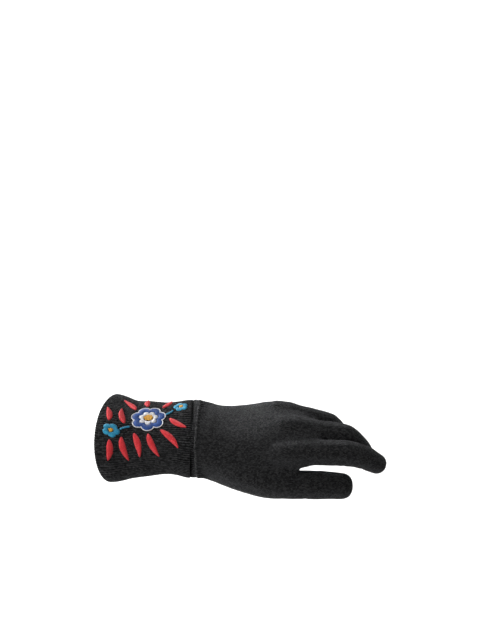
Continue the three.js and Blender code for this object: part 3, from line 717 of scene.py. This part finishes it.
laid_thread, given, made = new_group(
    "laid thread", [("Threads", "Vector")], [("Height", "Float"), ("Shade", "Float")]
)
lay = partial(figure, laid_thread)
place = shade(laid_thread, "ShaderNodeSeparateXYZ", {0: given["Threads"]})
number = lay("FLOOR", place.outputs[0])
twist = lay("MULTIPLY_ADD", place.outputs[0], 4 * math.pi, lay("MULTIPLY", place.outputs[1], 5))
strand = lay("SINE", twist)
drawn_out = shade(laid_thread, "ShaderNodeCombineXYZ", {
    0: lay("MULTIPLY", place.outputs[0], 3), 1: place.outputs[1]}).outputs[0]
streaks = shade(laid_thread, "ShaderNodeTexNoise", {"Vector": drawn_out, "Scale": 0.9, "Detail": 2.0}).outputs["Fac"]
own = shade(laid_thread, "ShaderNodeTexWhiteNoise", {"W": number}, noise_dimensions="1D").outputs["Value"]
laid_thread.links.new(lay("MULTIPLY_ADD", strand, 0.3, streaks), made["Height"])
# The shade of a thread is its own random tone and streaks. It also carries painted light: the crowns of its twisted
# plies are lighter and their grooves darker.
shade_of = lay("MULTIPLY_ADD", own, 0.5, lay("MULTIPLY_ADD", strand, 0.15, streaks))
laid_thread.links.new(lay("SUBTRACT", shade_of, 0.25), made["Shade"])


def thread(name, deep, bright):
    """A glossy embroidery thread, a little lighter or deeper from one laid thread to the next."""
    material = bpy.data.materials.new(name)
    material["slot"] = name
    material.use_nodes = True
    tree = material.node_tree
    shader = tree.nodes["Principled BSDF"]
    threads = shade(tree, "ShaderNodeUVMap", uv_map="stitches")
    laid = shade(tree, "ShaderNodeGroup", node_tree=laid_thread)
    tree.links.new(threads.outputs[0], laid.inputs["Threads"])
    blend = shade(tree, "ShaderNodeMix", {0: laid.outputs["Shade"], 6: (*deep, 1), 7: (*bright, 1)}, data_type="RGBA")
    tree.links.new(blend.outputs[2], shader.inputs["Base Color"])
    height = laid.outputs["Height"]
    surface = shade(tree, "ShaderNodeBump", {"Height": height, "Strength": 0.7, "Distance": 0.07 * MM})
    tree.links.new(surface.outputs[0], shader.inputs["Normal"])
    shader.inputs["Roughness"].default_value = 0.5
    shader.inputs["Specular IOR Level"].default_value = 0.35
    shader.inputs["Sheen Weight"].default_value = 0.15
    return material


red_thread = thread("red_thread", (0.52, 0.011, 0.018), (0.8, 0.043, 0.056))
blue_thread = thread("blue_thread", (0.005, 0.026, 0.125), (0.012, 0.085, 0.36))
cyan_thread = thread("cyan_thread", (0.006, 0.16, 0.3), (0.03, 0.38, 0.6))
white_thread = thread("white_thread", (0.5, 0.5, 0.53), (0.86, 0.86, 0.88))
gold_thread = thread("gold_thread", (0.5, 0.19, 0.01), (0.86, 0.5, 0.05))


def on_cuff(p, q, lift):
    """The point over the cuff at p from its mouth and q from the middle of its back towards the thumb side."""
    p, q, lift = np.broadcast_arrays(np.asarray(p, float), q, lift)
    shape = p.shape
    p, q, lift = p.ravel(), q.ravel(), lift.ravel()
    _, _, wide, high = cuff_oval(p)
    turn = np.full(len(p), np.pi / 2)
    steps = 40
    for _ in range(steps):
        turn = turn + q / steps / np.hypot(wide * np.sin(turn), high * np.cos(turn))
    return cuff_point(p, turn, lift).reshape(*shape, 3)


def lay_threads(name, rings, number, length, around, material, closed=False):
    """A closed body skinned over rings of points, with the number of each thread and the length along it."""
    count, size, _ = rings.shape
    points = rings.reshape(-1, 3)
    number, length = (np.broadcast_to(v, (count, size)).ravel() for v in (number, length))
    if not closed:
        points = np.vstack([points, rings[0].mean(axis=0), rings[-1].mean(axis=0)])
        number = np.append(number, [number[0], number[-1]])
        length = np.append(length, [length[0], length[-1]])
    piece = make_piece(name, points, tube_faces(count, size, closed), material)
    lay_stitches(piece.data, [number], [length], [around], np.zeros(len(points), int))
    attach(piece, "root")
    return piece


def satin_leaf(name, p, q, length, half, turn, bend):
    threads = round(length / THREAD)
    row = np.arange(threads * THREAD_SAMPLES + 1)
    along, uneven = row / row[-1], np.array([random.uniform(-0.16, 0.16) for _ in range(threads + 1)])
    side = np.array([-1, -0.86, -0.6, -0.3, 0, 0.3, 0.6, 0.86, 1, 0.9, 0, -0.9])
    under = np.arange(len(side)) > 8

    def width(share):
        return 0.35 + (half - 0.35) * np.sin(np.pi * share**0.8) ** 0.8

    u = np.clip(along[:, None] * length + STITCH_SLANT * side * width(along)[:, None], 0, length)
    ragged = 1 + (uneven[row // THREAD_SAMPLES] * np.sin(np.pi * along))[:, None] / half
    v = 4 * bend * u / length * (1 - u / length) + side * width(u / length) * ragged
    ends = np.clip(np.minimum(along, 1 - along) / 0.08, 0, 1)[:, None] ** 0.5
    crown = 1.05 * (1 - np.abs(side) ** 2.6) ** 0.6 * (0.4 + 0.6 * ends)
    ridge = THREAD_RELIEF * np.abs(np.sin(np.pi * row / THREAD_SAMPLES))[:, None] * (1 - side**4)
    lift = PADDING_FOOT + np.where(under, 0, crown + ridge + 0.12)
    c, s = math.cos(math.radians(turn)), math.sin(math.radians(turn))
    rings = on_cuff(p + c * u - s * v, q + s * u + c * v, lift)
    return lay_threads(name, rings, row[:, None] / THREAD_SAMPLES, side * half, FREE, red_thread)


def petal_rim(petals, inner, outer, angle):
    return inner + (outer - inner) * np.abs(np.sin(angle * petals / 2)) ** 0.7


def satin_blossom(name, p, q, petals, start, inner, outer, turn, material):
    """A ring of petals of threads that run out from the middle. Start gives the inner rim at an angle."""
    threads = petals * round(math.pi * (inner + outer) * 0.8 / THREAD / petals)
    row = np.arange(threads * THREAD_SAMPLES)
    angle = 2 * np.pi * row / len(row)
    uneven = np.array([random.uniform(-0.14, 0.14) for _ in range(threads)])[row // THREAD_SAMPLES]
    share = np.array([0, 0.06, 0.2, 0.4, 0.6, 0.8, 0.94, 1, 0.95, 0.5, 0.05])
    under = np.arange(len(share)) > 7
    near, far = start(angle)[:, None], (petal_rim(petals, inner, outer, angle) + uneven)[:, None]
    radius = near + (far - near) * share
    valley = 0.62 + 0.38 * np.abs(np.sin(angle * petals / 2)) ** 0.6
    crown = (1 - np.abs(2 * share - 1) ** 2.8) ** 0.6 * valley[:, None]
    ridge = THREAD_RELIEF * np.abs(np.sin(np.pi * row / THREAD_SAMPLES))[:, None] * (1 - (2 * share - 1) ** 6)
    lift = PADDING_FOOT + np.where(under, 0, crown + ridge + 0.12)
    heading = angle[:, None] + math.radians(turn)
    rings = on_cuff(p + radius * np.cos(heading), q + radius * np.sin(heading), lift)
    return lay_threads(name, rings, row[:, None] / THREAD_SAMPLES, radius, threads, material, closed=True)


def twisted_thread(name, path, radius, twist, material, closed=False):
    """Two plies twisted together along a path of (p, q) points, couched down on the cuff."""
    path = np.array(path)
    centre = on_cuff(path[:, 0], path[:, 1], 0.2 + radius)
    out = on_cuff(path[:, 0], path[:, 1], 1.2 + radius) - centre
    ahead = np.roll(centre, -1, axis=0) - np.roll(centre, 1, axis=0) if closed else np.gradient(centre, axis=0)
    ahead /= np.linalg.norm(ahead, axis=1)[:, None]
    side = np.cross(out, ahead)
    side /= np.linalg.norm(side, axis=1)[:, None]
    out = np.cross(ahead, side)
    walked = np.concatenate([[0], np.cumsum(np.linalg.norm(np.diff(centre, axis=0), axis=1))])
    if closed:
        whole = walked[-1] + np.linalg.norm(centre[0] - centre[-1])
        twist = whole / round(whole / twist)
    ring = np.linspace(0, 2 * np.pi, 10, endpoint=False)
    thick = radius * (1 + 0.26 * np.cos(2 * (ring - np.pi * walked[:, None] / twist)))
    if not closed:
        thick = thick * np.clip(np.minimum(walked, walked[-1] - walked) / radius, 0.25, 1)[:, None] ** 0.5
    rings = centre[:, None] + thick[..., None] * (
        np.cos(ring)[:, None] * out[:, None] + np.sin(ring)[:, None] * side[:, None]
    )
    number = ring / np.pi - walked[:, None] / twist
    return lay_threads(name, rings, number, walked[:, None], 2, material, closed=closed)


def french_knots(name, p, q, radius, count, knot):
    """A cluster of small wound knots that fills a round."""
    parts, faces, number, length = [], [], [], []
    size, levels = 12, np.linspace(-0.5, 0.93, 7)
    for k in range(count):
        reach = (radius - knot) * math.sqrt((k + 0.25) / count)
        where = 2.4 * k
        knot_p, knot_q = p + reach * math.cos(where), q + reach * math.sin(where)
        around = np.linspace(0, 2 * np.pi, size, endpoint=False)
        wide = knot * np.sqrt(1 - levels[:, None] ** 2) * (1 + 0.13 * np.cos(2 * around + 5 * levels[:, None] + k))
        lift = 0.75 + 0.8 * knot * levels[:, None] + random.uniform(-0.1, 0.15)
        rings = on_cuff(knot_p + wide * np.cos(around), knot_q + wide * np.sin(around), lift)
        offset = sum(len(part) for part in parts)
        rings_flat = np.vstack([rings.reshape(-1, 3), rings[0].mean(axis=0), rings[-1].mean(axis=0)])
        parts.append(rings_flat)
        faces += [[i + offset for i in f] for f in tube_faces(len(levels), size, False)]
        number += [*np.repeat(4 * levels + k * 7, size), k * 7, k * 7 + 4]
        length += [*np.tile(around * knot, len(levels)), 0, 0]
    points = np.vstack(parts)
    piece = make_piece(name, points, faces, gold_thread)
    lay_stitches(piece.data, [np.array(number)], [np.array(length)], [FREE], np.zeros(len(points), int))
    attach(piece, "root")
    return piece


LARGE_P, LARGE_Q, LARGE_TURN = 38, 3, 12
STAR = {"petals": 7, "inner": 5, "outer": 7.6}
ROUND_IT = {"petals": 7, "inner": 10.2, "outer": 13}
star = satin_blossom(
    "white_star", LARGE_P, LARGE_Q, **STAR, start=lambda a: 3.6 + 0 * a, turn=LARGE_TURN, material=white_thread
)
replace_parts(star, "large_blossom_star")
petals = satin_blossom(
    "blue_petals", LARGE_P, LARGE_Q, **ROUND_IT, start=lambda a: 0.25 + petal_rim(angle=a, **STAR), turn=LARGE_TURN,
    material=blue_thread,
)
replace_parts(petals, "large_blossom")
angles = np.linspace(0, 2 * np.pi, 420, endpoint=False)
rim_reach = petal_rim(angle=angles, **ROUND_IT) + 0.35
rim_heading = angles + math.radians(LARGE_TURN)
rim_path = np.stack([LARGE_P + rim_reach * np.cos(rim_heading), LARGE_Q + rim_reach * np.sin(rim_heading)], axis=1)
twisted_thread("white_edging", rim_path, 0.38, 1.4, white_thread, closed=True)
for name, p, q, turn in (("mouth_blossom", 12, 18.5, 40), ("wrist_blossom", 63, -11, 0)):
    blossom = satin_blossom(name + "_petals", p, q, 5, lambda a: 2 + 0 * a, 4.8, 6.4, turn, cyan_thread)
    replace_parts(blossom, name)
    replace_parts(french_knots(name + "_knots", p, q, 2.1, 7, 0.78), name + "_heart")
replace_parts(french_knots("large_blossom_knots", LARGE_P, LARGE_Q, 3.8, 19, 0.88), "large_blossom_heart")
# Each leaf and stem starts at p along the cuff and q towards the thumb side: p, q, length, half width, turn, bend.
LEAVES = [
    (20.5, 9.5, 17, 2.4, -106, -0.9), (19.5, 22.5, 20, 2.5, 76, 1.1), (9.6, 9.5, 15, 2.3, -106, 0.9),
    (28.5, 18.6, 21, 2.5, 78, -1.1), (26.5, -8.4, 18, 2.4, -134, 1.1), (48.2, 15, 22, 2.5, 50, -1.2),
    (54.6, 4, 17, 2.4, 34, 1), (48, -10.5, 17, 2.4, -68, 1.1), (39, 19.2, 21, 2.5, 66, 1.1),
    (11.5, 27.2, 18, 2.4, 96, -1), (35.5, -12.8, 15, 2.4, -98, -0.9),
]
for number, leaf in enumerate(LEAVES, 1):
    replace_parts(satin_leaf(f"red_leaf_{number}", *leaf), f"leaf_{number}")
STEMS = [(18.2, 16.4, 8, -28, -0.8), (51.2, -0.6, 7, -38, 0.6)]  # the same without the half width
for number, (p, q, length, turn, bend) in enumerate(STEMS, 1):
    u = np.linspace(0, length, 40)
    v = 4 * bend * u / length * (1 - u / length)
    c, s = math.cos(math.radians(turn)), math.sin(math.radians(turn))
    path = np.stack([p + c * u - s * v, q + s * u + c * v], axis=1)
    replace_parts(twisted_thread(f"cyan_stem_{number}", path, 0.75, 2.2, cyan_thread), f"stem_{number}")
